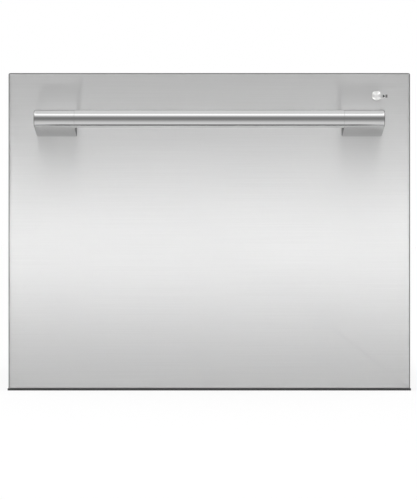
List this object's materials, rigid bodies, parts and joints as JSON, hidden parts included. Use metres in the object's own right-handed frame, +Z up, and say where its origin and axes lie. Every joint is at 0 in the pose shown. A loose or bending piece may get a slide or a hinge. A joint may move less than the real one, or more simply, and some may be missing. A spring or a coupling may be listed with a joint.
{
  "type": "dishwasher drawer",
  "caption": "Built-in single dishwasher drawer: stainless front with bar handle, tub on telescopic runners, folding racks, spray arm and a lid that stays in the chassis.",
  "frame": {"origin": "middle of the base tray's flat underside, halfway across the chassis, in line with the chassis front and rear as modelled", "axes": "+X to the right as seen from the front, +Y towards the rear, +Z up; the drawer slides out along -Y"},
  "size_m": [0.599, 0.6397, 0.4712],
  "materials": {
    "brushed_stainless": "fine horizontal brush lines, satin",
    "sheet_steel": "bare zinc-coated sheet",
    "dark_moulding": "fine-grained black moulding",
    "grey_moulding": "smooth grey polypropylene",
    "white_moulding": "smooth white moulding",
    "coated_wire": "grey nylon-coated steel wire",
    "seal_rubber": "matt black rubber",
    "circuit_board": "green solder mask"
  },
  "bodies": {
    "chassis": {"base_tray": "dark_moulding", "left_side_panel": "sheet_steel", "right_side_panel": "sheet_steel", "top_panel": "sheet_steel", "rear_panel": "sheet_steel", "trim_seal": "seal_rubber", "inlet_valve": "white_moulding", "drain_spigot": "grey_moulding", "terminal_box": "dark_moulding", "left_mount_tab": "sheet_steel", "right_mount_tab": "sheet_steel", "left_rail_bracket": "sheet_steel", "right_rail_bracket": "sheet_steel", "left_fixed_rail": "sheet_steel", "right_fixed_rail": "sheet_steel", "left_lid_guide": "sheet_steel", "right_lid_guide": "sheet_steel", "left_lid_actuator": "white_moulding", "right_lid_actuator": "white_moulding"},
    "left_runner": {"left_middle_rail": "sheet_steel"},
    "right_runner": {"right_middle_rail": "sheet_steel"},
    "lid": {"lid": "grey_moulding", "lid_seal": "seal_rubber"},
    "drawer": {"left_drawer_rail": "sheet_steel", "right_drawer_rail": "sheet_steel", "left_tub_bracket": "sheet_steel", "right_tub_bracket": "sheet_steel", "tub": "grey_moulding", "door_outer_panel": "brushed_stainless", "door_liner": "grey_moulding", "tub_mount_plate": "grey_moulding", "handle_bar": "brushed_stainless", "left_handle_post": "brushed_stainless", "right_handle_post": "brushed_stainless", "button_guide": "white_moulding", "switch_board": "circuit_board", "control_strip": "dark_moulding", "control_board": "circuit_board", "detergent_dispenser": "grey_moulding", "wash_pump": "dark_moulding", "spray_hub": "grey_moulding", "filter_plate": "brushed_stainless", "drain_filter": "white_moulding", "heater": "brushed_stainless", "drain_pump": "dark_moulding", "controller_box": "dark_moulding", "base_rack": "coated_wire", "cutlery_basket": "grey_moulding"},
    "spray_arm": {"spray_arm": "grey_moulding"},
    "start_button": {"start_button": "brushed_stainless"},
    "key_1": {"program_key_1": "grey_moulding"},
    "key_2": {"program_key_2": "grey_moulding"},
    "key_3": {"program_key_3": "grey_moulding"},
    "key_4": {"program_key_4": "grey_moulding"},
    "detergent_flap": {"detergent_flap": "white_moulding"},
    "rinse_aid_cap": {"rinse_aid_cap": "white_moulding"},
    "left_cup_rack": {"left_cup_rack": "coated_wire"},
    "right_cup_rack": {"right_cup_rack": "coated_wire"},
    "front_tines": {"front_folding_tines": "coated_wire"},
    "rear_tines": {"rear_folding_tines": "coated_wire"}
  },
  "joints": [
    {"name": "drawer_slide", "type": "slide", "parent": "chassis", "child": "drawer", "axis": [0, -1, 0], "range_m": [0, 0.5]},
    {"name": "left_runner_slide", "type": "slide", "parent": "chassis", "child": "left_runner", "axis": [0, -1, 0], "range_m": [0, 0.25]},
    {"name": "right_runner_slide", "type": "slide", "parent": "chassis", "child": "right_runner", "axis": [0, -1, 0], "range_m": [0, 0.25]},
    {"name": "lid_drop", "type": "slide", "parent": "chassis", "child": "lid", "axis": [0, 0, -1], "range_m": [0, 0.01]},
    {"name": "spray_arm_spin", "type": "hinge", "parent": "drawer", "child": "spray_arm", "pos_m": [0, -0.0245, 0.11], "axis": [0, 0, 1], "continuous": true},
    {"name": "start_button_press", "type": "slide", "parent": "drawer", "child": "start_button", "axis": [0, 1, 0], "range_m": [0, 0.0012], "stiffness_N_per_m": 900, "springref_m": -0.001},
    {"name": "key_1_press", "type": "slide", "parent": "drawer", "child": "key_1", "axis": [0, 0, -1], "range_m": [0, 0.001], "stiffness_N_per_m": 900, "springref_m": -0.001},
    {"name": "key_2_press", "type": "slide", "parent": "drawer", "child": "key_2", "axis": [0, 0, -1], "range_m": [0, 0.001], "stiffness_N_per_m": 900, "springref_m": -0.001},
    {"name": "key_3_press", "type": "slide", "parent": "drawer", "child": "key_3", "axis": [0, 0, -1], "range_m": [0, 0.001], "stiffness_N_per_m": 900, "springref_m": -0.001},
    {"name": "key_4_press", "type": "slide", "parent": "drawer", "child": "key_4", "axis": [0, 0, -1], "range_m": [0, 0.001], "stiffness_N_per_m": 900, "springref_m": -0.001},
    {"name": "detergent_flap_hinge", "type": "hinge", "parent": "drawer", "child": "detergent_flap", "pos_m": [-0.045, -0.23398, 0.344], "axis": [-1, 0, 0], "range_deg": [0, 95]},
    {"name": "rinse_aid_cap_turn", "type": "hinge", "parent": "drawer", "child": "rinse_aid_cap", "pos_m": [0.05, -0.23648, 0.377], "axis": [0, 1, 0], "range_deg": [0, 90]},
    {"name": "left_cup_rack_fold", "type": "hinge", "parent": "drawer", "child": "left_cup_rack", "pos_m": [-0.243, -0.06, 0.29], "axis": [0, -1, 0], "range_deg": [0, 85]},
    {"name": "right_cup_rack_fold", "type": "hinge", "parent": "drawer", "child": "right_cup_rack", "pos_m": [0.243, -0.06, 0.29], "axis": [0, 1, 0], "range_deg": [0, 85]},
    {"name": "front_tines_fold", "type": "hinge", "parent": "drawer", "child": "front_tines", "pos_m": [-0.1075, -0.185, 0.1413], "axis": [-1, 0, 0], "range_deg": [0, 80]},
    {"name": "rear_tines_fold", "type": "hinge", "parent": "drawer", "child": "rear_tines", "pos_m": [-0.1075, 0.005, 0.1413], "axis": [-1, 0, 0], "range_deg": [0, 80]}
  ],
  "couplings": [
    {"joint": "left_runner_slide", "follows": "drawer_slide", "ratio": 0.5},
    {"joint": "right_runner_slide", "follows": "drawer_slide", "ratio": 0.5}
  ]
}
